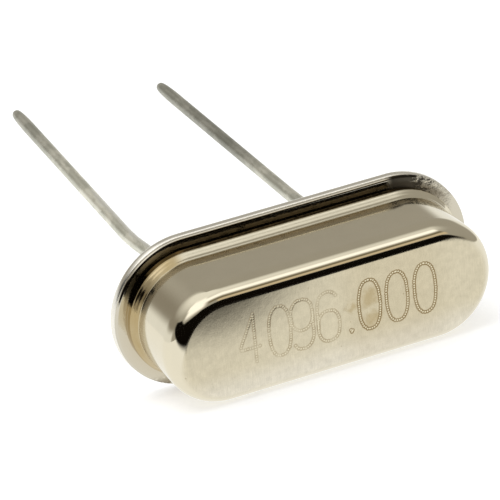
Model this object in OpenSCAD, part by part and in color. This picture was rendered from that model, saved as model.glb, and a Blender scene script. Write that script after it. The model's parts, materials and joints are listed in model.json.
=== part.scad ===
// Low-profile two-lead quartz crystal in a welded metal can, lying on its long side.
// Everything is built upright first: the seating plane at height 0, the can above it and the
// leads below it. rest_tilt then lays it down so that the flange and the can's top edge both
// touch the table. The origin stays at the middle of the seating plane.

/* [Flange] */
// Length of the flange over its round ends
flange_l = 11.05; // [10.4:0.05:12]
// Width of the flange
flange_w = 4.57; // [4.4:0.01:5]
// Radius on the outer corners of both rims
rim_edge = 0.05; // [0.02:0.01:0.08]

/* [Can] */
// Thickness of the sheet that the can is drawn from
sheet = 0.14; // [0.12:0.01:0.22]
// How far the flange stands out past the can's wall
flange_out = 0.475; // [0.42:0.005:0.54]
// Height of the can's top face above the seating plane
can_h = 3.14; // [2.9:0.02:3.6]
// Outer radius of the can's top edge
top_edge = 0.42; // [0.3:0.02:0.6]
// How far the collar round the base stands out past the wall
collar_out = 0.11; // [0.08:0.01:0.13]
// Height of the collar's straight side above the flange
collar_h = 0.05; // [0.05:0.01:0.1]
// Outer radius of the bend at the collar's crest
crest_r = 0.4; // [0.3:0.05:0.6]
// Radius of the neck, which draws the collar in to the wall
neck_r = 0.9; // [0.6:0.05:1.2]
// Radius in the corner between the flange and the collar
foot_fillet = 0.04; // [0.02:0.01:0.04]

/* [Base] */
// Thickness of the base's rim
rim_t = 0.28; // [0.2:0.01:0.32]
// Height of the base's raised middle above the seating plane
middle_h = 0.8; // [0.7:0.02:0.9]
// Gap between the base's raised middle and the inside of the can's wall
middle_gap = 0.03; // [0.02:0.01:0.06]
// Diameter of each glass seal
seal_d = 1.3; // [1:0.05:1.6]
// Depth of the glass below each face of the base
seal_recess = 0.05; // [0.02:0.01:0.1]

/* [Leads] */
// Diameter of a lead
lead_d = 0.38; // [0.33:0.01:0.48]
// Distance between the two leads where they leave the glass
lead_pitch = 4.88; // [4.6:0.02:5.1]
// Reach of a lead below the seating plane, taper included
lead_l = 13.9; // [9:0.1:20]
// Length of a lead above the base's raised middle
lead_in = 0.3; // [0.2:0.02:0.4]
// Length of straight wire below the seating plane, before the first bend
stub_l = 0.6; // [0.4:0.1:1]
// Depth of a lead's second bend below the seating plane
knee_h = 4.7; // [3:0.1:6]
// Length of the taper at a lead's cut end
tip_l = 0.16; // [0.08:0.02:0.3]
// How far the wire swells at a bend
bend_swell = 0.01; // [0.006:0.002:0.02]
// How far outwards the left lead's second bend lies from where the lead leaves the glass
left_knee_out = 0.35; // [-0.5:0.05:0.5]
// How far across the left lead's second bend lies, towards the upper side
left_knee_across = -0.05; // [-0.5:0.05:0.5]
// How far outwards the left lead's cut end lies
left_end_out = 0.13; // [-1:0.01:1]
// How far across the left lead's cut end lies
left_end_across = 0.43; // [-1:0.01:1]
// How far outwards the right lead's second bend lies
right_knee_out = -0.11; // [-0.5:0.01:0.5]
// How far across the right lead's second bend lies
right_knee_across = -0.05; // [-0.5:0.05:0.5]
// How far outwards the right lead's cut end lies
right_end_out = -0.2; // [-1:0.01:1]
// How far across the right lead's cut end lies
right_end_across = 0.02; // [-1:0.01:1]

/* [Quartz] */
// Length of the quartz strip
quartz_l = 8; // [7:0.1:8.2]
// Width of the quartz strip
quartz_w = 1.9; // [1.6:0.05:2.2]
// Thickness of the quartz strip, which sets its frequency
quartz_t = 0.405; // [0.15:0.005:0.55]
// Length of an electrode, without its tab
electrode_l = 4.6; // [3.6:0.1:5]
// Width of an electrode
electrode_w = 1.3; // [1:0.05:1.5]
// Width of an electrode's tab
tab_w = 0.5; // [0.3:0.05:0.8]
// Thickness of an electrode, far thicker than the real film
film_t = 0.01; // [0.005:0.005:0.02]

/* [Spring clips] */
// Thickness of the clip's strip
clip_t = 0.12; // [0.08:0.01:0.15]
// Width of a clip
clip_w = 1.5; // [1:0.05:1.7]
// Length of the clip's foot on each side of its lead
foot_half = 0.42; // [0.3:0.02:0.5]
// Height from the top of a lead to the underside of the clip's seat
clip_rise = 0.28; // [0.2:0.02:0.4]
// Length of the quartz that lies on a clip
seat_l = 0.9; // [0.6:0.05:1]
// Gap between the quartz and the clip's end stop
stop_gap = 0.12; // [0.08:0.01:0.2]
// Height of the end stop above the underside of the quartz
stop_h = 0.5; // [0.3:0.02:0.6]
// Radius of a drop of conductive adhesive
drop_r = 0.55; // [0.45:0.01:0.6]

/* [Hidden] */
$fn = 64;

// outline: two half circles of one radius about the same two centres
half_run = (flange_l - flange_w) / 2;
flange_r = flange_w / 2;
wall_r = flange_r - flange_out;
collar_r = wall_r + collar_out;
middle_r = wall_r - sheet - middle_gap;

// heights above the seating plane
flange_top = rim_t + sheet;
collar_top = flange_top + collar_h;
lead_top = middle_h + lead_in;
seat_low = lead_top + clip_rise;
seat_top = seat_low + clip_t;
quartz_low = seat_top + film_t;
quartz_top = quartz_low + quartz_t;

// the crest and the neck are two arcs that touch, one tangent to the collar and one to the wall
slant = acos(1 - collar_out / (crest_r + neck_r));
neck_top = collar_top + (crest_r + neck_r) * sin(slant);

// the tilt at which the flange's front corner and the can's top edge touch one plane
corner_run = (can_h - top_edge) - (flange_top - rim_edge);
corner_drop = (flange_r - rim_edge) - (wall_r - top_edge);
rest_tilt = atan2(corner_drop, corner_run)
            - asin((top_edge - rim_edge) / norm([corner_run, corner_drop]));

lead_x = lead_pitch / 2;
stop_x = quartz_l / 2 + stop_gap;
seat_x = quartz_l / 2 - seat_l;
past_face = sheet;
left = -1;
right = 1;

// carries the upright crystal to the way it lies
module laid() {
    rotate([90 + rest_tilt, 0, 0]) children();
}

// sweeps a half section (radius, height) round the oblong outline
module oblong() {
    rotate([90, 0, 90]) linear_extrude(2 * half_run, center = true) {
        children();
        mirror([1, 0]) children();
    }
    for (turn = [0, 180]) {
        rotate(turn) translate([half_run, 0, 0]) rotate(-90) rotate_extrude(angle = 180) children();
    }
}

// half section of a rim with both outer corners rounded
module rim_section(low, thick) {
    inner_r = flange_r - rim_edge;
    translate([0, low]) {
        square([inner_r, thick]);
        translate([0, rim_edge]) square([flange_r, thick - 2 * rim_edge]);
        for (corner_h = [rim_edge, thick - rim_edge]) translate([inner_r, corner_h]) circle(rim_edge);
    }
}

// half section of everything inside the can's outer skin, drawn in by depth
module skin_section(depth) {
    square([wall_r - depth, can_h - top_edge]);
    square([wall_r - top_edge, can_h - depth]);
    translate([wall_r - top_edge, can_h - top_edge]) circle(top_edge - depth);
    square([collar_r - depth, collar_top]);
    translate([collar_r - crest_r, collar_top]) circle(crest_r - depth);
    difference() {
        polygon([[0, collar_top], [collar_r - crest_r, collar_top], [wall_r + neck_r, neck_top], [0, neck_top]]);
        translate([wall_r + neck_r, neck_top]) circle(neck_r + depth);
    }
}

// the fillet in the corner between the flange and the collar
module foot_section() {
    translate([collar_r, flange_top]) difference() {
        square(foot_fillet);
        translate([foot_fillet, foot_fillet]) circle(foot_fillet);
    }
}

module can() {
    color("#c9c2ae") laid() oblong() difference() {
        union() {
            rim_section(rim_t, sheet);
            skin_section(0);
            foot_section();
        }
        skin_section(sheet);
        square([flange_l, rim_t]);
    }
}

// puts its children at a lead's line, starting a little below the seating plane
module through_base(side) {
    translate([side * lead_x, 0, -past_face]) children();
}

module base() {
    color("#b7b2a2") laid() difference() {
        oblong() {
            rim_section(0, rim_t);
            square([middle_r, middle_h]);
        }
        for (side = [left, right]) through_base(side) cylinder(d = seal_d, h = middle_h + 2 * past_face);
    }
}

module glass_seal(side) {
    color("#3d5a52") laid() difference() {
        translate([side * lead_x, 0, seal_recess]) cylinder(d = seal_d, h = middle_h - 2 * seal_recess);
        through_base(side) cylinder(d = lead_d, h = middle_h + 2 * past_face);
    }
}

// points along a lead, from its inner end down to its cut end
function lead_path(side, knee, end) = [
    [side * lead_x, 0, lead_top],
    [side * lead_x, 0, -stub_l],
    [side * (lead_x + knee[0]), knee[1], -knee_h],
    [side * (lead_x + end[0]), end[1], -lead_l]
];

// puts its children at one point of a path, with their Z towards the next
module along(from, to) {
    way = (to - from) / norm(to - from);
    translate(from) rotate([0, acos(way[2]), atan2(way[1], way[0])]) children();
}

// wire of round section along a path, a little swollen at its bends and tapered at its last end
module wire(path) {
    last = len(path) - 2;
    for (i = [0 : last - 1]) {
        along(path[i], path[i + 1]) cylinder(d = lead_d, h = norm(path[i + 1] - path[i]));
        translate(path[i + 1]) sphere(d = lead_d + 2 * bend_swell);
    }
    end_l = norm(path[last + 1] - path[last]);
    tip_r = lead_d / 4; // the cut end is half as thick as the wire
    along(path[last], path[last + 1]) intersection() {
        cylinder(d = lead_d, h = end_l);
        cylinder(r1 = tip_r * (1 + end_l / tip_l), r2 = tip_r, h = end_l);
    }
}

module lead(side, knee, end) {
    color("#a8a69a") laid() wire(lead_path(side, knee, end));
}

// outline of the right-hand clip, seen from the front
module clip_section() {
    foot_out = lead_x + foot_half;
    polygon([
        [lead_x - foot_half, lead_top],
        [foot_out, lead_top],
        [foot_out, seat_low],
        [stop_x + clip_t, seat_low],
        [stop_x + clip_t, quartz_low + stop_h],
        [stop_x, quartz_low + stop_h],
        [stop_x, seat_top],
        [foot_out - clip_t, seat_top],
        [foot_out - clip_t, lead_top + clip_t],
        [lead_x - foot_half, lead_top + clip_t]
    ]);
}

// the clip as a solid strip, upright, for either side
module clip_solid(side) {
    mirror([side == left ? 1 : 0, 0, 0]) rotate([90, 0, 0])
        linear_extrude(clip_w, center = true) clip_section();
}

module spring_clip(side) {
    color("#c4c7c9") laid() clip_solid(side);
}

module quartz_solid() {
    translate([-quartz_l / 2, -quartz_w / 2, quartz_low]) cube([quartz_l, quartz_w, quartz_t]);
}

module quartz_blank() {
    color("#dfe6ea") laid() quartz_solid();
}

// an electrode film at one face of the quartz, with its tab running to one end
module electrode_solid(low, side) {
    translate([0, 0, low]) {
        translate([-electrode_l / 2, -electrode_w / 2, 0]) cube([electrode_l, electrode_w, film_t]);
        translate([side == left ? -quartz_l / 2 : 0, -tab_w / 2, 0]) cube([quartz_l / 2, tab_w, film_t]);
    }
}

module upper_electrode() {
    color("#d8d8d4") laid() electrode_solid(quartz_top, left);
}

module lower_electrode() {
    color("#d8d8d4") laid() electrode_solid(quartz_low - film_t, right);
}

// a drop of adhesive over the end of the quartz, filling the gap to the clip's end stop
module adhesive(side) {
    color("#8d8f90") laid() difference() {
        intersection() {
            translate([side * quartz_l / 2, 0, (quartz_low + quartz_top) / 2]) sphere(drop_r);
            translate([side == left ? -stop_x : seat_x, -quartz_w / 2, seat_top])
                cube([stop_x - seat_x, quartz_w, can_h]);
        }
        quartz_solid();
        electrode_solid(quartz_top, left);
        electrode_solid(quartz_low - film_t, right);
    }
}

can();
base();
glass_seal(left);  // left_glass_seal
glass_seal(right);  // right_glass_seal
lead(left, [left_knee_out, left_knee_across], [left_end_out, left_end_across]);  // left_lead
lead(right, [right_knee_out, right_knee_across], [right_end_out, right_end_across]);  // right_lead
spring_clip(left);  // left_spring_clip
spring_clip(right);  // right_spring_clip
quartz_blank();
upper_electrode();
lower_electrode();
adhesive(left);  // left_adhesive
adhesive(right);  // right_adhesive
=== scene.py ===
import json
import math
import random

import bpy
import numpy as np
from mathutils import Matrix, Vector, noise


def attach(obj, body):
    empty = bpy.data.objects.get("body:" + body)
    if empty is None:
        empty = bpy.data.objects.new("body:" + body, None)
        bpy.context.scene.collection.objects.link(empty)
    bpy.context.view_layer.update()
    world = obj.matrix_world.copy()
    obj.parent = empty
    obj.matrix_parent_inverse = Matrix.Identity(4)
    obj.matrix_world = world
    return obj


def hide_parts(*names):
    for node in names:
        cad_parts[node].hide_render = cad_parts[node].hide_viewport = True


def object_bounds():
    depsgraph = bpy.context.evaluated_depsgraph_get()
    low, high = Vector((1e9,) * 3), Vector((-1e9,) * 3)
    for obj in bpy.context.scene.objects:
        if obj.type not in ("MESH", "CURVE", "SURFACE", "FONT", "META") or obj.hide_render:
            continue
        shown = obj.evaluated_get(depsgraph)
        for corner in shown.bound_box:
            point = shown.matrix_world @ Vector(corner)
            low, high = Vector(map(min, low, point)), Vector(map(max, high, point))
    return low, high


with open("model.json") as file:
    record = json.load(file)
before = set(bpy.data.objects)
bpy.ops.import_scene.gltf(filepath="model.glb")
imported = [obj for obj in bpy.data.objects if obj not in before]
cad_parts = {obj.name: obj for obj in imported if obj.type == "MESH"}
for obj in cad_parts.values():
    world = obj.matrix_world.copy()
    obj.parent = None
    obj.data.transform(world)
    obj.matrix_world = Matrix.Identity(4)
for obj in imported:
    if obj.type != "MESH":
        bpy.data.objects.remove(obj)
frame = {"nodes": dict(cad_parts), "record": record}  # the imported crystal, which stays exactly where it is
cadLow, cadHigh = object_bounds()
mounts = {m["name"]: m for m in frame["record"]["mounts"]}
print("frame loaded:", len(frame["nodes"]), "nodes")


camera = {
    "azimuth": -21.01,  # degrees, 0 looks along +Y
    "elevation": 16.15,
    "roll": -10.15,
    "distance": 0.130,  # this and the next two are in metres
    "aimRight": -0.000919,
    "aimUp": 0.000863,
    "lens": 329.68,
    "sensor": 36.0,
    "nearest": 0.01,
    "farthest": 10,
}


def makeCamera(look):
    azimuth, elevation, roll = (math.radians(look[k]) for k in ("azimuth", "elevation", "roll"))
    level = math.cos(elevation)
    back = Vector((math.sin(azimuth) * level, -math.cos(azimuth) * level, math.sin(elevation)))
    right = (-back).cross(Vector((0, 0, 1))).normalized()
    up = right.cross(-back)
    place = right * look["aimRight"] + up * look["aimUp"] + back * look["distance"]
    across = right * math.cos(roll) + up * math.sin(roll)
    above = up * math.cos(roll) - right * math.sin(roll)
    turn = Matrix((across, above, back)).transposed().to_4x4()
    bpy.ops.object.camera_add()
    made = bpy.context.object
    made.name = "studioCamera"
    made.matrix_world = Matrix.Translation(place) @ turn
    made.data.lens = look["lens"]
    made.data.sensor_width = look["sensor"]
    made.data.clip_start = look["nearest"]
    made.data.clip_end = look["farthest"]
    bpy.context.scene.camera = made


makeCamera(camera)
print("camera placed")


# pieces are drawn upright in millimetres, the seating plane at height 0 and the can above it,
# and layDown carries each one to where the crystal lies
millimetre = 0.001
outward = Vector(mounts["seating_plane"]["axis"])
seat = Vector(mounts["seating_plane"]["pos_m"])
laidTurn = Matrix((Vector((1, 0, 0)), Vector((0, -outward.z, outward.y)), -outward)).transposed()
laid = Matrix.Translation(seat) @ laidTurn.to_4x4() @ Matrix.Scale(millimetre, 4)
upright = laid.inverted()

oneSpot = 0.0001  # millimetres, points nearer than this are merged while a piece is shaped
oneSpotLast = 0.00002  # the same once it is shaped
sameHeight = 0.001
softBelow = 50  # degrees between two faces, up to which their edge is shaded soft


def clearSelection():
    if bpy.context.object and bpy.context.object.mode != "OBJECT":
        bpy.ops.object.mode_set(mode="OBJECT")
    bpy.ops.object.select_all(action="DESELECT")


def takeUp(piece):
    clearSelection()
    piece.select_set(True)
    bpy.context.view_layer.objects.active = piece


def joinTo(piece, other):
    takeUp(piece)
    other.select_set(True)
    bpy.ops.object.join()


def pickRims(piece, test):
    # selects the open edges that lie where test says, and leaves the piece in edit mode
    bpy.ops.object.mode_set(mode="EDIT")
    bpy.ops.mesh.select_mode(type="EDGE")
    bpy.ops.mesh.select_all(action="DESELECT")
    bpy.ops.mesh.select_non_manifold(extend=False)
    bpy.ops.object.mode_set(mode="OBJECT")
    mesh = piece.data
    for edge in mesh.edges:
        if edge.select:
            edge.select = all(test(mesh.vertices[i].co) for i in edge.vertices)
    picked = [edge.index for edge in mesh.edges if edge.select]
    for vertex in mesh.vertices:
        vertex.select = False
    for index in picked:
        for i in mesh.edges[index].vertices:
            mesh.vertices[i].select = True
    for face in mesh.polygons:
        face.select = False
    bpy.ops.object.mode_set(mode="EDIT")


def fillRims(piece, test):
    # closes the flat between those edges
    pickRims(piece, test)
    bpy.ops.mesh.fill(use_beauty=True)
    bpy.ops.mesh.dissolve_degenerate(threshold=oneSpot)
    bpy.ops.object.mode_set(mode="OBJECT")


def arc(centre, radius, start, end, steps):
    # points (radius, height) on a circle, from one angle in degrees to another
    turns = [math.radians(start + (end - start) * i / steps) for i in range(steps + 1)]
    return [(centre[0] + radius * math.cos(t), centre[1] + radius * math.sin(t)) for t in turns]


def drawLine(name, points):
    # a small plane is merged to one vertex, which is extruded from point to point
    clearSelection()
    bpy.ops.mesh.primitive_plane_add(size=0.1)
    piece = bpy.context.object
    piece.name = name
    bpy.ops.object.mode_set(mode="EDIT")
    bpy.ops.mesh.select_all(action="SELECT")
    bpy.ops.mesh.merge(type="CENTER")
    bpy.ops.transform.translate(value=(0, -points[0][0], points[0][1]))
    for here, there in zip(points, points[1:]):
        step = (0, here[0] - there[0], there[1] - here[1])
        bpy.ops.mesh.extrude_vertices_move(TRANSFORM_OT_translate={"value": step})
    return piece


def spinRound(angle, axis, steps):
    bpy.ops.mesh.select_all(action="SELECT")
    bpy.ops.mesh.spin(steps=steps, angle=angle, center=(0, 0, 0), axis=(0, 0, axis))
    bpy.ops.mesh.select_all(action="SELECT")
    bpy.ops.mesh.remove_doubles(threshold=oneSpot)


def sweepOblong(piece, halfRun, steps):
    # the half section goes round one end, runs straight, and is mirrored for the other end
    spinRound(math.pi, -1, steps)
    bpy.ops.transform.translate(value=(halfRun, 0, 0))
    pickRims(piece, lambda p: abs(p.x - halfRun) < oneSpot)
    bpy.ops.mesh.extrude_edges_move(TRANSFORM_OT_translate={"value": (-halfRun, 0, 0)})
    bpy.ops.object.mode_set(mode="OBJECT")
    otherEnd = piece.modifiers.new("otherEnd", "MIRROR")
    otherEnd.use_axis = (True, False, False)
    otherEnd.merge_threshold = oneSpot
    takeUp(piece)
    bpy.ops.object.modifier_apply(modifier="otherEnd")


def layDown(piece, softUpTo):
    # the last steps of every piece: faces outwards, soft edges, and its place on the crystal
    takeUp(piece)
    bpy.ops.object.mode_set(mode="EDIT")
    bpy.ops.mesh.select_mode(type="VERT")
    bpy.ops.mesh.select_all(action="SELECT")
    bpy.ops.mesh.remove_doubles(threshold=oneSpotLast)
    bpy.ops.mesh.normals_make_consistent(inside=False)
    bpy.ops.object.mode_set(mode="OBJECT")
    bpy.ops.object.shade_smooth_by_angle(angle=math.radians(softUpTo))
    piece.matrix_world = laid
    bpy.ops.object.transform_apply(location=True, rotation=True, scale=True)


number = {  # in millimetres
    "text": "4096.000",
    "places": (-2.60, -1.72, -1.03, -0.22, 0.46, 1.06, 1.92, 2.80),  # middle of each figure
    "halfWide": 0.33,
    "halfTall": 0.76,
    "pointDrop": 0.86,  # of the point below the middle, in half heights
    "rise": 0.08,  # of the figures above the middle of the face
    "squareness": 2.4,  # of the ovals, 2 for plain ones
    "margin": 0.1,  # of the plate round the figures
    "grid": 0.0122,  # spacing of the plate's mesh
    "pitch": 0.074,  # between one laser spot and the next
    "scatter": 0.003,
    "spot": 0.048,  # radius of a spot
    "reach": 0.1,  # how far from its middle a spot changes the metal
    "depth": 0.005,
    "lip": 0.0015,  # height of the ring thrown up round a spot
    "lipWide": 0.3,  # in spot radii, as bead and both scorches are
    "bead": 0.66,  # the molten middle
    "beadSteep": 1.8,
    "scorch": 1.42,
    "scorchSoft": 0.4,
    "strength": 0.75,
    "weakest": 0.15,
    "uneven": 0.15,
    "fade": 0.6,  # slow changes of strength along the number
    "fadeScale": (1.6, 2.1),
    "fadeLayer": 3.7,
    "faintTo": 0.3,  # the figures left of here are faint and broken
    "faint": 0.6,
    "seed": 4,
}


def ovalStroke(cx, cy, rx, ry, start, end, steps=72):
    # part of an oval with flattened sides, angles in degrees
    power = 2 / number["squareness"]
    found = []
    for i in range(steps + 1):
        t = math.radians(start + (end - start) * i / steps)
        c, s = math.cos(t), math.sin(t)
        across, up = math.copysign(abs(c) ** power, c), math.copysign(abs(s) ** power, s)
        found.append((cx + rx * across, cy + ry * up))
    return found


def strokesOf(figure, w, h):
    # the strokes of one figure that reaches w and h to each side of its middle
    if figure == "0":
        return [ovalStroke(0, 0, w, h, 90, 450)]
    if figure == "4":
        stem, bar = 0.32 * w, -0.36 * h
        return [[(stem, h), (-w, -0.22 * h), (-w, bar), (0.86 * w, bar)], [(stem, h), (stem, -h)]]
    if figure == "6":  # a nine stood on its head
        return [[(-x, -y) for x, y in stroke] for stroke in strokesOf("9", w, h)]
    if figure == "9":
        bowl = ovalStroke(0, 0.38 * h, w, 0.62 * h, 0, 360)
        tail = [(w, 0.38 * h), (w, -0.15 * h)] + ovalStroke(0, -0.3 * h, w, 0.7 * h, 0, -140)
        return [bowl, tail]
    return [[(-0.04, 0.03), (0, -0.05), (0.04, 0.03)]]  # the point


def spotsAlong(line, pitch):
    # points at even steps along a line, left being the way still to go to the next one
    found, left = [line[0]], pitch
    for (ax, ay), (bx, by) in zip(line, line[1:]):
        length = math.hypot(bx - ax, by - ay)
        while left <= length:
            share = left / length
            found.append((ax + (bx - ax) * share, ay + (by - ay) * share))
            left += pitch
        left -= length
    return found


def laserSpots(look):
    # (x, y, strength) of every spot
    draw = random.Random(look["seed"])
    found = []
    for figure, x in zip(look["text"], look["places"]):
        low = -look["pointDrop"] * look["halfTall"] if figure == "." else 0
        for stroke in strokesOf(figure, look["halfWide"], look["halfTall"]):
            for sx, sy in spotsAlong(stroke, look["pitch"]):
                px, py = x + sx, look["rise"] + low + sy
                where = (px * look["fadeScale"][0], py * look["fadeScale"][1], look["fadeLayer"])
                fade = 0.5 + 0.5 * noise.noise(Vector(where))
                strength = look["strength"] + look["fade"] * fade
                strength -= look["faint"] if px < look["faintTo"] else 0.0
                strength += draw.uniform(-look["uneven"], look["uneven"])
                strength = min(1, max(look["weakest"], strength))
                aside, above = draw.gauss(0, look["scatter"]), draw.gauss(0, look["scatter"])
                found.append((px + aside, py + above, strength))
    return found


def engrave(piece, look, height):
    # sinks the spots into the plate, each with a lip round it and a bead in its middle, and notes
    # how burnt and how molten each point is
    mesh = piece.data
    points = np.zeros(len(mesh.vertices) * 3)
    mesh.vertices.foreach_get("co", points)
    points = points.reshape(-1, 3)
    dish, lip, bead, scorch = (np.zeros(len(points)) for _ in range(4))
    for px, py, strength in laserSpots(look):
        aside, above = points[:, 0] - px, points[:, 1] - py
        near = np.nonzero((abs(aside) < look["reach"]) & (abs(above) < look["reach"]))[0]
        out = np.hypot(aside[near], above[near]) / look["spot"]
        sunk = strength * np.clip(1 - out**2, 0, 1)
        raised = strength * np.exp(-(((out - 1) / look["lipWide"]) ** 2))
        melted = np.clip(look["beadSteep"] * (1 - (out / look["bead"]) ** 2), 0, 1)
        charred = strength * np.clip((look["scorch"] - out) / look["scorchSoft"], 0, 1)
        for whole, spot in ((dish, sunk), (lip, raised), (bead, melted), (scorch, charred)):
            whole[near] = np.maximum(whole[near], spot)
    points[:, 2] = height - look["depth"] * dish + look["lip"] * lip * (1 - bead)
    mesh.vertices.foreach_set("co", points.ravel())
    for name, amount in (("burnt", scorch * (1 - bead)), ("molten", scorch * bead)):
        noted = mesh.attributes.new(name, "FLOAT", "POINT")
        noted.data.foreach_set("value", amount.astype(np.float32))


can = {  # in millimetres and degrees
    "halfRun": 3.24,  # half the straight stretch between the round ends
    "flangeRadius": 2.272,
    "rimEdge": 0.062,
    "rimWide": 0.085,  # how far in the upper edge of the rim starts to fall away
    "rimTurn": 8,  # degrees a step on that edge
    "rimLow": 0.28,  # where the base's rim ends and the can's begins
    "sheet": 0.14,
    "wallRadius": 1.81,
    "height": 3.14,
    "creaseRadius": 0.10,  # small radius next to the flat face
    "creaseTurn": 15,  # degrees that it turns
    "faceRadius": 1.33,
    "collarRadius": 1.92,
    "collarTop": 0.565,
    # the shoulder, from the collar up to the wall: length of each stretch, and the slope at its end,
    # 90 for upright; the die left two low ridges, and the wall above them widens a little upwards
    "shoulder": ((0.07, 49), (0.06, 61), (0.06, 53), (0.06, 68), (0.055, 57), (0.045, 90.5)),
    "shoulderTurn": 4,  # degrees a step at most
    "fewestSteps": 4,
    "droop": 1.2,  # degrees by which the flange falls away from the can
    "innerHeights": (0.45, 0.56, 0.84, 0.96),  # where the inside narrows, with its two ends eased
    "innerEase": 0.02,
    "flat": 0.03,  # strip of flat beside each round, which keeps the shading true
    "steps": {"crease": 3, "edge": 20, "rim": 7, "inside": 8},
    "endSteps": 72,
}


def shoulderLine(look):
    radius, height, slope = look["collarRadius"], look["collarTop"], 90
    found = [(radius, height)]
    for length, slopeAfter in look["shoulder"]:
        steps = max(look["fewestSteps"], round(abs(slopeAfter - slope) / look["shoulderTurn"]))
        for i in range(steps):
            tilt = math.radians(slope + (slopeAfter - slope) * (i + 0.5) / steps)
            radius -= math.cos(tilt) * length / steps
            height += math.sin(tilt) * length / steps
            found.append((radius, height))
        slope = slopeAfter
    return found


def canSection(look):
    # half the can cut across: from the edge of its face down outside to the rim, and up inside
    face, wall, collar = look["faceRadius"], look["wallRadius"], look["collarRadius"]
    height, sheet, flat, steps = look["height"], look["sheet"], look["flat"], look["steps"]
    tight, turn = look["creaseRadius"], look["creaseTurn"]
    sine, cosine = math.sin(math.radians(turn)), math.cos(math.radians(turn))
    wide = (wall - face - tight * sine) / (1 - sine)
    centre = (wall - wide, height - tight * (1 - cosine) - wide * cosine)
    outer = [(face - flat, height)]
    outer += arc((face, height - tight), tight, 90, 90 - turn, steps["crease"])
    outer += arc(centre, wide, 90 - turn, 0, steps["edge"])[1:]
    outer += [(wall, centre[1] - flat)]
    outer += shoulderLine(look)[::-1]
    edge, top = look["rimEdge"], look["rimLow"] + sheet
    rim, wideRim = look["flangeRadius"] - edge, look["flangeRadius"] - look["rimWide"]
    fall = (rim - collar) * math.tan(math.radians(look["droop"]))
    outer += [(collar, top)]
    for degrees in range(0, 90, look["rimTurn"]):
        turned = math.radians(degrees)
        across, down = look["rimWide"] * math.sin(turned), edge * (1 - math.cos(turned))
        outer.append((wideRim + across, top - fall - down))
    outer.append((look["flangeRadius"], top - fall - edge))
    outer += arc((rim, look["rimLow"] + edge), edge, 0, -90, steps["rim"])
    ease, (low, lowEased, highEased, high) = look["innerEase"], look["innerHeights"]
    inner = [(rim - flat, look["rimLow"]), (collar - sheet, look["rimLow"])]
    inner += [(collar - sheet, low), (collar - sheet - ease, lowEased)]
    inner += [(wall - sheet + ease, highEased), (wall - sheet, high)]
    inner += arc(centre, wide - sheet, 0, 90 - turn, steps["inside"])
    inner += [(face - flat, height - sheet)]
    return outer + inner


def makeCan(look, marks):
    piece = drawLine("can_drawn", canSection(look))
    sweepOblong(piece, look["halfRun"], look["endSteps"])
    pickRims(piece, lambda p: abs(p.z - look["height"] + look["sheet"]) < sameHeight)
    bpy.ops.mesh.edge_face_add()  # the inner face
    # the plate that carries the number, let into the outer face
    wide = 2 * (max(abs(p) for p in marks["places"]) + marks["halfWide"] + marks["margin"])
    tall = 2 * (marks["halfTall"] + marks["margin"])
    clearSelection()
    bpy.ops.mesh.primitive_grid_add(
        x_subdivisions=round(wide / marks["grid"]),
        y_subdivisions=round(tall / marks["grid"]),
        size=1,
        location=(0, marks["rise"], look["height"]),
    )
    plate = bpy.context.object
    plate.scale = (wide, tall, 1)
    bpy.ops.object.transform_apply(location=True, rotation=True, scale=True)
    engrave(plate, marks, look["height"])
    joinTo(piece, plate)
    fillRims(piece, lambda p: p.z > look["height"] - sameHeight)
    layDown(piece, softBelow)
    return piece


canPiece = makeCan(can, number)
print("can:", len(canPiece.data.polygons), "faces")


base = {  # in millimetres
    "halfRun": 3.24,
    "rimRadius": 2.285,
    "rimEdge": 0.11,
    "rim": 0.28,  # height of the rim
    "middleRadius": 1.64,
    "middle": 0.8,  # height of the middle, which sits inside the can's collar
    "middleFoot": 0.03,
    "middleEdge": 0.05,
    "holeRadius": 0.65,
    "holeEdge": 0.04,
    "leadPlace": 2.44,
    "flat": 0.03,
    "edgeSteps": 6,
    "holeSteps": 5,
    "holeSides": 64,
    "endSteps": 64,
}


def baseSection(look):
    edge, rim, radius = look["rimEdge"], look["rim"], look["rimRadius"] - look["rimEdge"]
    foot, bevel, inner = look["middleFoot"], look["middleEdge"], look["middleRadius"]
    section = [(radius - look["flat"], 0)]
    section += arc((radius, edge), edge, -90, 0, look["edgeSteps"])
    section += arc((radius, rim - edge), edge, 0, 90, look["edgeSteps"])
    section += [(inner + foot, rim), (inner, rim + foot)]
    return section + [(inner, look["middle"] - bevel), (inner - bevel, look["middle"])]


def makeHole(side, look):
    # the wall of a lead's hole, drawn up from its round lower edge
    edge, radius, middle = look["holeEdge"], look["holeRadius"], (side * look["leadPlace"], 0, 0)
    profile = [(radius + edge, 0)] + arc((radius + edge, edge), edge, 270, 180, look["holeSteps"])[1:]
    profile += [(radius, look["middle"])]
    clearSelection()
    bpy.ops.mesh.primitive_circle_add(vertices=look["holeSides"], radius=radius + edge, location=middle)
    hole = bpy.context.object
    bpy.ops.object.mode_set(mode="EDIT")
    bpy.ops.mesh.select_all(action="SELECT")
    for (wasWide, wasHigh), (wide, high) in zip(profile, profile[1:]):
        bpy.ops.mesh.extrude_edges_move(TRANSFORM_OT_translate={"value": (0, 0, high - wasHigh)})
        share = wide / wasWide
        bpy.ops.transform.resize(value=(share, share, 1), center_override=Vector(middle))
    bpy.ops.object.mode_set(mode="OBJECT")
    bpy.ops.object.transform_apply(location=True, rotation=True, scale=True)
    return hole


def makeBase(look):
    piece = drawLine("base_stamped", baseSection(look))
    sweepOblong(piece, look["halfRun"], look["endSteps"])
    for side in (-1, 1):
        joinTo(piece, makeHole(side, look))
    for height in (0, look["middle"]):
        fillRims(piece, lambda p: abs(p.z - height) < sameHeight)
    layDown(piece, softBelow)
    return piece


basePiece = makeBase(base)
print("base:", len(basePiece.data.polygons), "faces")


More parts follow.
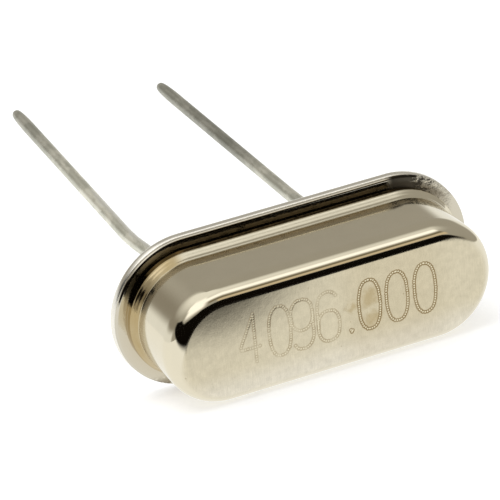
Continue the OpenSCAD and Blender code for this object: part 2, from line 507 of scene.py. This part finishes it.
seal = {  # in millimetres
    "outer": 0.65,
    "inner": 0.19,
    "low": 0.06,
    "high": 0.74,
    "climb": 0.05,  # how far the glass climbs the metal
    "climbPower": 4,
    "acrossSteps": 12,
    "steps": 48,
}


def makeSeal(name, side, look):
    # the glass wets the metal, so both of its faces are dished
    wide = look["outer"] - look["inner"]
    low, high = [], []
    for i in range(look["acrossSteps"] + 1):
        share = i / look["acrossSteps"]
        rise = look["climb"] * (2 * share - 1) ** look["climbPower"]
        low.append((look["inner"] + wide * share, look["low"] - rise))
        high.append((look["outer"] - wide * share, look["high"] + rise))
    piece = drawLine(name, low + high + low[:1])
    spinRound(2 * math.pi, 1, look["steps"])
    bpy.ops.transform.translate(value=(side * base["leadPlace"], 0, 0))
    layDown(piece, softBelow)
    return piece


sealPieces = [makeSeal("left_seal_glass", -1, seal), makeSeal("right_seal_glass", 1, seal)]
print("seals made")


lead = {  # in millimetres
    "radius": 0.19,
    "inside": 1.1,  # length above the seating plane
    "stub": 0.6,  # this and the next two are depths below it
    "knee": 4.7,
    "reach": 13.9,
    "bend": 9.0,  # radius of the bends, to the middle of the wire
    "bendSteps": 8,
    "tipLong": 1.2,  # length over which the cut end narrows
    # share of that length, and of the radius left there
    "tip": ((0.25, 0.985), (0.5, 0.94), (0.7, 0.88), (0.84, 0.8), (0.92, 0.7), (0.97, 0.52), (1, 0.28)),
    "sides": 32,
    "softBelow": 60,  # degrees, as the other pieces' softBelow
}


def leadPath(side, mount, look):
    # the pin's own line, carried on to the knee and to the cut end
    middle = upright @ Vector(mount["pos_m"])
    way = (upright.to_3x3() @ Vector(mount["axis"])).normalized()
    way = way if way.z < 0 else -way
    onLine = lambda depth: middle + way * ((middle.z + depth) / -way.z)
    top = Vector((side * base["leadPlace"], 0, look["inside"]))
    return [top, Vector((top.x, 0, -look["stub"])), onLine(look["knee"]), onLine(look["reach"])]


def extrudeTo(here, there):
    bpy.ops.mesh.extrude_region_move(TRANSFORM_OT_translate={"value": there - here})
    return there


def makeLead(name, path, look):
    clearSelection()
    bpy.ops.mesh.primitive_circle_add(
        vertices=look["sides"], radius=look["radius"], fill_type="NGON", location=path[0]
    )
    piece = bpy.context.object
    piece.name = name
    bpy.ops.object.mode_set(mode="EDIT")
    bpy.ops.mesh.select_all(action="SELECT")
    here, bend = path[0], look["bend"]
    for before, corner, after in zip(path, path[1:], path[2:]):
        way, onward = (corner - before).normalized(), (after - corner).normalized()
        turn = way.angle(onward)
        cut = bend * math.tan(turn / 2)
        here = extrudeTo(here, corner - way * cut)
        inwards = (onward - way * onward.dot(way)).normalized()
        axis = onward.cross(way).normalized()
        bpy.ops.mesh.spin(steps=look["bendSteps"], angle=turn, center=here + inwards * bend, axis=axis)
        here = corner + onward * cut
    way = (path[-1] - here).normalized()
    tipFrom = path[-1] - way * look["tipLong"]
    here, was = extrudeTo(here, tipFrom), 1
    for along, size in look["tip"]:
        here = extrudeTo(here, tipFrom + way * look["tipLong"] * along)
        bpy.ops.transform.resize(value=(size / was,) * 3, center_override=here)
        was = size
    bpy.ops.object.mode_set(mode="OBJECT")
    bpy.ops.object.transform_apply(location=True, rotation=True, scale=True)
    layDown(piece, look["softBelow"])
    return piece


leadPaths = [
    leadPath(-1, mounts["left_lead_pin"], lead),
    leadPath(1, mounts["right_lead_pin"], lead),
]
leadPieces = [
    makeLead("left_lead_wire", leadPaths[0], lead),
    makeLead("right_lead_wire", leadPaths[1], lead),
]
print("leads made")

dressed = (
    (canPiece, ["can"], "can_metal"),
    (basePiece, ["base"], "base_metal"),
    (sealPieces[0], ["left_glass_seal"], "seal_glass"),
    (sealPieces[1], ["right_glass_seal"], "seal_glass"),
    (leadPieces[0], ["left_lead"], "lead_metal"),
    (leadPieces[1], ["right_lead"], "lead_metal"),
)
for piece, nodes, slot in dressed:
    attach(piece, "root")
    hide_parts(*nodes)


class Signal:
    # what one socket gives, so that shader maths reads as plain sums
    def __init__(self, bench, end):
        self.bench = bench
        self.end = end

    def __add__(self, other):
        return self.bench.maths("ADD", self, other)

    def __radd__(self, other):
        return self.bench.maths("ADD", other, self)

    def __sub__(self, other):
        return self.bench.maths("SUBTRACT", self, other)

    def __rsub__(self, other):
        return self.bench.maths("SUBTRACT", other, self)

    def __mul__(self, other):
        return self.bench.maths("MULTIPLY", self, other)

    def __rmul__(self, other):
        return self.bench.maths("MULTIPLY", other, self)

    def __truediv__(self, other):
        return self.bench.maths("DIVIDE", self, other)

    def __rtruediv__(self, other):
        return self.bench.maths("DIVIDE", other, self)

    def __pow__(self, other):
        return self.bench.maths("POWER", self, other)

    def __neg__(self):
        return self.bench.maths("MULTIPLY", self, -1.0)

    def __abs__(self):
        return self.bench.maths("ABSOLUTE", self)


class Bench:
    # a node tree to work in
    def __init__(self, tree):
        self.tree = tree
        tree.nodes.clear()

    def add(self, kind, settings=None, inputs=None, output=0):
        node = self.tree.nodes.new(kind)
        for key, value in (settings or {}).items():
            setattr(node, key, value)
        for key, value in (inputs or {}).items():
            if isinstance(value, Signal):
                self.tree.links.new(value.end, node.inputs[key])
            else:
                node.inputs[key].default_value = value
        return Signal(self, node.outputs[output]) if len(node.outputs) else None

    def maths(self, operation, first, second=0.0):
        return self.add("ShaderNodeMath", {"operation": operation}, {0: first, 1: second})

    def step(self, value, low, high, start=0.0, end=1.0):
        return self.add(
            "ShaderNodeMapRange",
            {"interpolation_type": "SMOOTHSTEP"},
            {"Value": value, "From Min": low, "From Max": high, "To Min": start, "To Max": end},
        )

    def fall(self, value, low, high):
        return self.step(value, low, high, 1.0, 0.0)

    def within(self, value, low, high, soft):
        rise = self.step(value, low - soft / 2, low + soft / 2)
        return rise * self.fall(value, high - soft / 2, high + soft / 2)

    def blend(self, share, first, second):
        # either colour is a signal or (red, green, blue)
        first, second = ((*c, 1) if isinstance(c, tuple) else c for c in (first, second))
        return self.add("ShaderNodeMix", {"data_type": "RGBA"}, {0: share, 6: first, 7: second}, 2)

    def vectors(self, operation, first, second):
        return self.add("ShaderNodeVectorMath", {"operation": operation}, {0: first, 1: second})

    def scaled(self, colour, tone):
        return self.add("ShaderNodeVectorMath", {"operation": "SCALE"}, {0: colour, "Scale": tone})

    def parts(self, vector):
        return [self.add("ShaderNodeSeparateXYZ", None, {0: vector}, i) for i in range(3)]

    def ray(self, kind):
        return self.add("ShaderNodeLightPath", output=kind)

    def surface(self, values):
        shader = self.add("ShaderNodeBsdfPrincipled", None, values)
        self.add("ShaderNodeOutputMaterial", None, {"Surface": shader})


def newMaterial(name):
    material = bpy.data.materials.new(name)
    material.use_nodes = True
    return material, Bench(material.node_tree)


def uprightPlace(bench):
    # the crystal's own upright directions, in millimetres
    place = bench.add("ShaderNodeTexCoord", output="Object")
    values = {"Vector": place, "Rotation": upright.to_euler(), "Scale": (1 / millimetre,) * 3}
    return bench.add("ShaderNodeMapping", None, values)


def grain(bench, place, stretch, scale, detail, roughness):
    if stretch:
        place = bench.vectors("MULTIPLY", place, stretch)
    values = {"Vector": place, "Scale": scale, "Detail": detail, "Roughness": roughness}
    return bench.add("ShaderNodeTexNoise", None, values)


def wear(piece, material):
    piece.data.materials.clear()
    piece.data.materials.append(material)


nickel = {
    "plain": (0.80, 0.74, 0.585),
    "face": (0.69, 0.625, 0.465),
    # paler, for the painted reflection low on the face
    "footOfFace": (0.78, 0.73, 0.61),
    # darker and greyer: painted shade, for the shaded floor that the flange mirrors
    "flange": (0.66, 0.62, 0.52),
    "burn": (0.25, 0.17, 0.07),
    "molten": (0.93, 0.86, 0.64),
    # painted shade, for the flange's dark corner behind the can and its low side
    "paintedShade": (0.13, 0.10, 0.06),
    "scale": (0.035, 0.028, 0.02),  # black, a painted reflection that carries the flange's dark band on to its right end
    # brown: real stains and the smoke, and also painted shade and a painted reflection in hollows, corners
    # and the collar's left end
    "stainAndShade": (0.46, 0.35, 0.17),
    # noise: its stretch along x, y and z, then scale, detail and roughness
    "patterns": {
        "mottle": ((1.0, 0.45, 1.0), 1.5, 5.0, 0.6),
        "clouds": (None, 5.0, 4.0, 0.6),
        "brushed": ((14.0, 1.2, 1.0), 2.2, 3.0, 0.6),
        "fine": (None, 26.0, 3.0, 0.5),
        "dieMarks": ((1.0, 1.0, 9.0), 5.0, 4.0, 0.65),
        "specks": (None, 6.0, 1.0, 0.5),
        "patches": (None, 2.4, 4.0, 0.7),
        "scores": ((1.0, 2.2, 1.0), 5.0, 4.0, 0.7),
    },
    # where each finish begins and is complete, in millimetres, or what part of a pattern it takes;
    # three numbers are from, to and softness
    "flangeUpTo": (0.4, 0.47),
    "wallAt": (1.2, 2.6, 0.3),
    "shoulderAt": (0.56, 0.9, 0.05),
    "grooveAt": (0.91, 1.18, 0.12),
    "groovePatches": (0.25, 0.5),
    "cornerAt": (0.415, 0.55, 0.03),
    "faceEdge": (0.02, 0.14, 0.002),  # depth where the face begins, how much more on its soft side, its end
    "softSide": (-0.8, 0.4),
    "softEnd": (3.3, 4.4),
    "footOfFaceAt": (-1.45, -0.55),
    "warmAt": ((-0.2, 0.9), (2.6, 4.0)),
    "specksFrom": (0.78, 0.81),
    "paintedShadeOut": (0.12, 0.26),  # out from the collar
    "paintedShadeBack": (0.9, 1.5),
    "paintedLowShadeAt": (-2.05, -1.7),
    "paintedLowShadeClouds": (0.35, 0.5),
    "leftEndAt": (-3.7, -3.3),
    "leftEndHigh": (0.43, 0.85, 0.06),
    "blackReflectionRight": (3.05, 3.35),
    "blackReflectionBack": (0.7, 1.2),
    "blackReflectionScores": (0.49, 0.57),
    "blackReflectionThins": (0.3, 4.2),  # how fast it breaks up to the right, and where it is half gone
    "chipsAt": (4.0, 5.1, 0.3),
    "chipsBack": (0.3, 0.9),
    # the smoky mark that the laser left: which figure, and (x, y, reach) of each puff
    "smokedFigure": 5,
    "smoke": ((0.02, 0.3, 0.34), (-0.52, 0.16, 0.2), (0.05, -0.42, 0.3)),
    "smokeSoft": (0.2, 1.3),
    "smokeRagged": 0.5,
    # how much of each lies over the metal
    "cover": {
        "groove": 0.6,
        "corner": 0.6,
        "paintedShade": 0.85,
        "paintedLowShade": 0.85,
        "leftEnd": 0.5,
        "leftEndMottle": 0.6,
        "warm": 0.16,
        "smoke": 0.5,
        "specks": 0.5,
        "molten": 0.75,
    },
    "tone": {"mottle": 0.10, "clouds": 0.34, "brushed": 0.24},
    "rough": {
        "all": 0.055,
        "face": 0.17,
        "wall": 0.05,
        "groove": 0.28,
        "scale": 0.4,
        "dieMarks": 0.05,
        "mottle": 0.06,
    },
    # how high the patterns stand, in metres
    "relief": {
        "fine": 0.0000002,
        "fineFace": 0.000001,
        "dieMarks": 0.000002,
        "brushed": 0.0000009,
        "clouds": 0.000002,
        "chips": 0.00006,
    },
}


def nickelMaterial(look):
    material, bench = newMaterial("drawnNickel")
    step, fall, within, blend = bench.step, bench.fall, bench.within, bench.blend
    cover, tones, coarse, raised = look["cover"], look["tone"], look["rough"], look["relief"]
    place = uprightPlace(bench)
    x, y, z = bench.parts(place)
    pattern = {name: grain(bench, place, *values) for name, values in look["patterns"].items()}
    mottle, clouds, brushed = pattern["mottle"], pattern["clouds"], pattern["brushed"]
    burnt = bench.add("ShaderNodeAttribute", {"attribute_name": "burnt"}, None, "Fac")
    molten = bench.add("ShaderNodeAttribute", {"attribute_name": "molten"}, None, "Fac")
    # where on the can: beyond is how far past the centre of a round end, and across is how far out
    # from the line between the two centres
    beyond = bench.maths("MAXIMUM", abs(x) - can["halfRun"], 0.0)
    across = (beyond**2.0 + y**2.0) ** 0.5
    softSide = bench.maths("MAXIMUM", fall(y, *look["softSide"]), step(x, *look["softEnd"]))
    edge, softEdge, edgeEnd = look["faceEdge"]
    onFace = step(z, can["height"] - edge - softEdge * softSide, can["height"] - edgeEnd)
    onFlange = fall(z, *look["flangeUpTo"])
    onWall = within(z, *look["wallAt"])
    onShoulder = within(z, *look["shoulderAt"])
    # the bare metal
    plain = blend(onFace, look["plain"], look["face"])
    # painted reflection: the face is paler towards its lower edge
    plain = blend(onFace * fall(y, *look["footOfFaceAt"]), plain, look["footOfFace"])
    tone = tones["clouds"] * (clouds - 0.5) + tones["brushed"] * (brushed - 0.5)
    plain = bench.scaled(plain, 1.0 + tones["mottle"] * (mottle - 0.5) + onFace * tone)
    # stain and painted shade in patches in the hollow above the shoulder, and painted shade in the corner
    # over the flange
    groove = within(z, *look["grooveAt"]) * step(pattern["patches"], *look["groovePatches"])
    plain = blend(groove * cover["groove"], plain, look["stainAndShade"])
    plain = blend(within(z, *look["cornerAt"]) * cover["corner"], plain, look["stainAndShade"])
    # the flange, with painted shade behind the can, in the corner against the collar, and low on the left,
    # where it meets the can again
    # painted shade: the whole flange is darker than the can, for the shaded floor it mirrors
    plain = blend(onFlange, plain, look["flange"])
    # painted shade in the corner between the flange and the collar, behind the can
    nearIn, farOut = (can["collarRadius"] + out for out in look["paintedShadeOut"])
    paintedShade = onFlange * fall(across, nearIn, farOut) * step(y, *look["paintedShadeBack"])
    plain = blend(paintedShade * cover["paintedShade"], plain, look["paintedShade"])
    # painted shadow in patches along the flange's low side, next to the floor
    paintedLowShade = onFlange * fall(y, *look["paintedLowShadeAt"]) * step(clouds, *look["paintedLowShadeClouds"])
    plain = blend(paintedLowShade * cover["paintedLowShade"], plain, look["paintedShade"])
    # painted reflection: the collar's left end is browned unevenly, for the brown surroundings it mirrors
    leftEnd = fall(x, *look["leftEndAt"]) * within(z, *look["leftEndHigh"])
    leftEnd = leftEnd * (cover["leftEnd"] + cover["leftEndMottle"] * mottle)
    plain = blend(leftEnd, plain, look["stainAndShade"])
    # the laser's smoke, and a warmer tint round it
    smoke = 0.0
    ragged = look["smokeRagged"] * (clouds - 0.5)
    for smokeX, smokeY, reach in look["smoke"]:
        smokeX += number["places"][look["smokedFigure"]]
        away = ((x - smokeX) ** 2.0 + (y - smokeY) ** 2.0) ** 0.5
        smoke = smoke + fall(away + ragged, *(reach * soft for soft in look["smokeSoft"]))
    warmFrom, warmTo = look["warmAt"]
    warm = step(x, *warmFrom) * fall(x, *warmTo) * onFace
    plain = blend(warm * cover["warm"] + onFace * smoke * cover["smoke"], plain, look["stainAndShade"])
    specks = step(pattern["specks"], *look["specksFrom"]) * onFace
    plain = blend(specks * cover["specks"], plain, look["burn"])
    plain = blend(molten * cover["molten"], plain, look["molten"])
    colour = blend(burnt, plain, look["burn"])
    # a painted black reflection on the flange's right end, which carries its dark band on, whole at first
    # and then in chips along the weld's scores
    thinning, halfGone = look["blackReflectionThins"]
    chips = pattern["scores"] + thinning * (x - halfGone)
    scale = onFlange * step(x, *look["blackReflectionRight"]) * step(y, *look["blackReflectionBack"])
    scale = scale * fall(chips, *look["blackReflectionScores"])
    colour = blend(scale, colour, look["scale"])
    rough = coarse["all"] + coarse["face"] * onFace + coarse["wall"] * onWall
    rough = rough + coarse["groove"] * groove + coarse["scale"] * scale
    rough = rough + coarse["dieMarks"] * onShoulder * pattern["dieMarks"]
    rough = rough + coarse["mottle"] * onFace * (mottle - 0.5)
    relief = pattern["fine"] * (raised["fine"] + raised["fineFace"] * onFace) * (1.0 - onFlange)
    relief = relief + pattern["dieMarks"] * raised["dieMarks"] * onShoulder
    relief = relief + onFace * (brushed * raised["brushed"] + clouds * raised["clouds"])
    relief = relief + onFlange * clouds * raised["clouds"]
    # the right end of the flange, chipped by the welding wheel
    chipped = onFlange * within(x, *look["chipsAt"]) * step(y, *look["chipsBack"])
    relief = relief + chipped * (pattern["scores"] - 0.5) * raised["chips"]
    bump = bench.add("ShaderNodeBump", None, {"Height": relief, "Distance": 1.0, "Strength": 1.0})
    bench.surface({"Base Color": colour, "Metallic": 1.0, "Roughness": rough, "Normal": bump})
    return material


wire = {
    "plain": (0.74, 0.73, 0.65),
    "dark": (0.56, 0.56, 0.49),
    "bright": (0.98, 0.97, 0.90),
    "brightest": (1.0, 1.0, 0.94),
    "mottle": ((1.0, 1.0, 0.5), 2.4, 5.0, 0.65),
    "fine": (None, 16.0, 3.0, 0.5),
    "darkBlotches": (0.42, 0.6),
    # the painted highlight along one side of the left lead: that side in wire radii, and the heights where
    # it starts
    "paintedGleamSide": (-0.3, 0.3),
    "paintedGleamFrom": (-8.5, -5.5),
    "paintedGleamRagged": 1.2,
    "paintedGleam": 0.9,
    "cleanFoot": (-2.4, -0.6),  # heights where both leads get cleaner towards the base
    "clean": 0.35,
    # how bright each lead is at the tip, in the middle and near the base, and the heights between
    "leftTones": (0.86, 1.34, 1.34),
    "rightTones": (0.82, 0.66, 1.15),
    "tipUpTo": -8.0,
    "footFrom": (-8.5, -6.0),
    "rough": {"all": 0.42, "mottle": 0.2, "fine": 0.1},
    "relief": {"mottle": 0.000012, "fine": 0.000002},  # metres
}


def wireMaterial(name, path, look, tones, brightSide):
    material, bench = newMaterial(name)
    step, coarse, raised = bench.step, look["rough"], look["relief"]
    place = uprightPlace(bench)
    x, y, z = bench.parts(place)
    stub, knee, end = path[1:]
    middle = step(z, end.z, knee.z, end.x, knee.x) + step(z, knee.z, stub.z, 0.0, stub.x - knee.x)
    mottle = grain(bench, place, *look["mottle"])
    fine = grain(bench, place, *look["fine"])
    side = (x - middle) / lead["radius"] + look["paintedGleamRagged"] * (mottle - 0.5)
    # painted highlight: one side of the left lead is lighter, as its lit side
    paintedGleam = step(side, *look["paintedGleamSide"]) * step(z, *look["paintedGleamFrom"]) * brightSide
    colour = bench.blend(step(mottle, *look["darkBlotches"]), look["dark"], look["plain"])
    clean = step(z, *look["cleanFoot"]) * look["clean"] + paintedGleam * look["paintedGleam"]
    colour = bench.blend(clean, colour, look["bright"])
    tip, between, foot = tones
    tone = step(z, end.z, look["tipUpTo"], tip, between) + step(z, *look["footFrom"], 0.0, foot - between)
    colour = bench.vectors("MINIMUM", bench.scaled(colour, tone), look["brightest"])
    rough = coarse["all"] + coarse["mottle"] * (mottle - 0.5) + coarse["fine"] * fine
    relief = mottle * raised["mottle"] + fine * raised["fine"]
    bump = bench.add("ShaderNodeBump", None, {"Height": relief, "Distance": 1.0})
    bench.surface({"Base Color": colour, "Metallic": 1.0, "Roughness": rough, "Normal": bump})
    return material


# colour, roughness and what else each plainer finish needs
plainLooks = {
    "stampedNickel": ((0.97, 0.945, 0.87), 0.22, {"Metallic": 1.0}),
    "sealGlass": ((0.05, 0.07, 0.065), 0.08, {"Coat Weight": 0.3, "IOR": 1.52}),
    "springSteel": ((0.60, 0.585, 0.56), 0.22, {"Metallic": 1.0}),
    "silverFilm": ((0.90, 0.89, 0.86), 0.16, {"Metallic": 1.0}),
    "silverPaste": ((0.42, 0.41, 0.40), 0.5, {"Metallic": 0.3}),
    "lappedQuartz": ((0.93, 0.95, 0.95), 0.1, {"Transmission Weight": 1.0, "IOR": 1.544}),
}
plainMottle = {"pattern": (None, 2.5, 4.0, 0.5), "least": 0.9, "tone": 0.2, "rough": 0.06}


def plainFinish(name, colour, rough, sockets, look):
    material, bench = newMaterial(name)
    mottle = grain(bench, uprightPlace(bench), *look["pattern"])
    shade = bench.scaled(colour, look["least"] + look["tone"] * mottle)
    bench.surface({"Base Color": shade, "Roughness": rough + look["rough"] * mottle, **sockets})
    return material


plainer = {name: plainFinish(name, *values, plainMottle) for name, values in plainLooks.items()}
finishes = {
    "can": nickelMaterial(nickel),
    "base": plainer["stampedNickel"],
    "left_lead": wireMaterial("leftWire", leadPaths[0], wire, wire["leftTones"], 1.0),
    "right_lead": wireMaterial("rightWire", leadPaths[1], wire, wire["rightTones"], 0.0),
    "left_glass_seal": plainer["sealGlass"],
    "right_glass_seal": plainer["sealGlass"],
    # what is sealed inside
    "left_spring_clip": plainer["springSteel"],
    "right_spring_clip": plainer["springSteel"],
    "upper_electrode": plainer["silverFilm"],
    "lower_electrode": plainer["silverFilm"],
    "left_adhesive": plainer["silverPaste"],
    "right_adhesive": plainer["silverPaste"],
    "quartz_blank": plainer["lappedQuartz"],
}
for name, node in frame["nodes"].items():
    wear(node, finishes[name])
for piece, nodes, slot in dressed:
    wear(piece, finishes[nodes[0]])
print("finishes made")


studio = {
    "floorSize": 1.2,
    "floorColour": (0.93, 0.93, 0.93),
    "floorGlow": (0.42, 0.42, 0.42),
    "reflectedFloor": (0.98, 0.975, 0.95),
    "seenFrom": 0.003,  # height of the metal that mirrors the floor
    "card": (0.004, 0.003, 0.002),
    "ambient": (0.62, 0.62, 0.62),
    "lampPlace": (-0.05, -0.03, 0.16),
    "lampSize": 0.12,
    "lampPower": 0.09,
}

# what the metal sees round it: (azimuth from, to, elevation from, to, softness, colour), in degrees;
# azimuth 0 is in front of the crystal and 90 to its right
surroundings = [
    ("plainRoom", (-400, 400, -100, 100, 1), (0.385, 0.365, 0.325)),
    ("brownLeft", (-165, -84, 17, 36, 16), (0.29, 0.265, 0.225)),
    ("paleBackRight", (118, 400, -20, 20, 14), (0.92, 0.92, 0.90)),
    ("paleBackLeft", (-400, -90, -20, 14, 12), (0.88, 0.88, 0.86)),
    ("besideSoftbox", (-160, 66, 50, 130, 40), (0.95, 0.94, 0.90)),
    ("softbox", (-60, 45, 43, 55, 8), (1.36, 1.34, 1.32)),
    ("softboxLeft", (-54, -8, 27, 62, 14), (1.36, 1.34, 1.32)),
    ("warmGap", (12, 46, 21, 30, 4), (0.68, 0.56, 0.39)),
    ("stand", (-2, 44, 31, 38, 5), (0.20, 0.165, 0.10)),
]

# a black card in front of the crystal, in the same degrees; its lower edge sags in the middle
card = {
    "ends": (-86, 62, 12),
    "middle": -14.0,
    "halfWidth": 40.0,
    "lowest": -24.0,
    "sag": 14.0,
    "lowerTop": 3.0,  # the lower edge rises no further than this, except at the left end
    "leftLift": 16.0,
    "leftLiftAt": (-88, -68),
    "upper": 18.0,
    "leftRise": 11.0,
    "leftRiseAt": (-66, -46),
    "middleRise": 2.5,
    "middleRiseAt": (-14, 36, 10),
    "rightDrop": 11.0,
    "rightDropAt": (34, 62),
    "lowerSoft": (-3.0, 3.0),
    "upperSoft": (-2.0, 2.0),
}


def darkCard(bench, azimuth, elevation, look):
    # how much of the card lies in this direction
    side = (azimuth - look["middle"]) / look["halfWidth"]
    lower = bench.maths("MINIMUM", look["sag"] * side * side + look["lowest"], look["lowerTop"])
    lower = lower + look["leftLift"] * bench.fall(azimuth, *look["leftLiftAt"])
    upper = look["upper"] + look["leftRise"] * bench.fall(azimuth, *look["leftRiseAt"])
    upper = upper + look["middleRise"] * bench.within(azimuth, *look["middleRiseAt"])
    upper = upper - look["rightDrop"] * bench.step(azimuth, *look["rightDropAt"])
    above = bench.step(elevation - lower, *look["lowerSoft"])
    below = bench.fall(elevation - upper, *look["upperSoft"])
    return above * below * bench.within(azimuth, *look["ends"])


def bearing(bench, first, second):
    return bench.maths("ARCTAN2", first, second) * (180 / math.pi)


def makeFloor(look):
    clearSelection()
    bpy.ops.mesh.primitive_plane_add(size=look["floorSize"], location=(0, 0, cadLow.z))
    floor = bpy.context.object
    floor.name = "floor"
    bpy.ops.object.transform_apply(location=True, rotation=True, scale=True)
    material, bench = newMaterial("palePaper")
    # metal and glass see a plain floor, with the card in it
    place = bench.add("ShaderNodeTexCoord", output="Object")
    x, y = bench.parts(place)[:2]
    away = bench.add("ShaderNodeVectorMath", {"operation": "LENGTH"}, {0: place}, "Value")
    dark = darkCard(bench, bearing(bench, x, -y), bearing(bench, -look["seenFrom"], away), card)
    mirrored = bench.blend(dark, look["reflectedFloor"], look["card"])
    mirrored = bench.add("ShaderNodeEmission", None, {"Color": mirrored})
    paper = bench.add("ShaderNodeBsdfDiffuse", None, {"Color": (*look["floorColour"], 1)})
    glow = bench.blend(bench.ray("Is Camera Ray"), (0, 0, 0), look["floorGlow"])
    glow = bench.add("ShaderNodeEmission", None, {"Color": glow})
    lit = bench.add("ShaderNodeAddShader", None, {0: paper, 1: glow})
    clear = bench.maths("MAXIMUM", bench.ray("Is Glossy Ray"), bench.ray("Is Transmission Ray"))
    seen = bench.add("ShaderNodeMixShader", None, {0: clear, 1: lit, 2: mirrored})
    bench.add("ShaderNodeOutputMaterial", None, {"Surface": seen})
    wear(floor, material)


def makeWorld(look, regions):
    world = bpy.data.worlds.new("studio")
    bpy.context.scene.world = world
    world.use_nodes = True
    bench = Bench(world.node_tree)
    x, y, z = bench.parts(bench.add("ShaderNodeTexCoord", output="Generated"))
    azimuth = bearing(bench, x, -y)
    elevation = bench.maths("ARCSINE", z) * (180 / math.pi)
    around = (0, 0, 0)
    for name, (left, right, low, high, soft), colour in regions:
        inside = bench.within(azimuth, left, right, soft) * bench.within(elevation, low, high, soft)
        around = bench.blend(inside, around, colour)
    around = bench.blend(darkCard(bench, azimuth, elevation, card), around, look["card"])
    colour = bench.blend(bench.ray("Is Glossy Ray"), look["ambient"], around)
    colour = bench.blend(bench.ray("Is Camera Ray"), colour, (1, 1, 1))
    sky = bench.add("ShaderNodeBackground", None, {"Color": colour})
    bench.add("ShaderNodeOutputWorld", None, {"Surface": sky})


def makeLamp(look):
    clearSelection()
    bpy.ops.object.light_add(type="AREA", location=look["lampPlace"])
    lamp = bpy.context.object
    lamp.name = "softTop"
    lamp.data.shape = "SQUARE"
    lamp.data.size = look["lampSize"]
    lamp.data.energy = look["lampPower"]
    lamp.rotation_euler = (-Vector(look["lampPlace"])).to_track_quat("-Z", "Y").to_euler()
    lamp.visible_glossy = False


makeFloor(studio)
makeWorld(studio, surroundings)
makeLamp(studio)
print("studio made")

scene = bpy.context.scene
scene.view_settings.view_transform = "Standard"
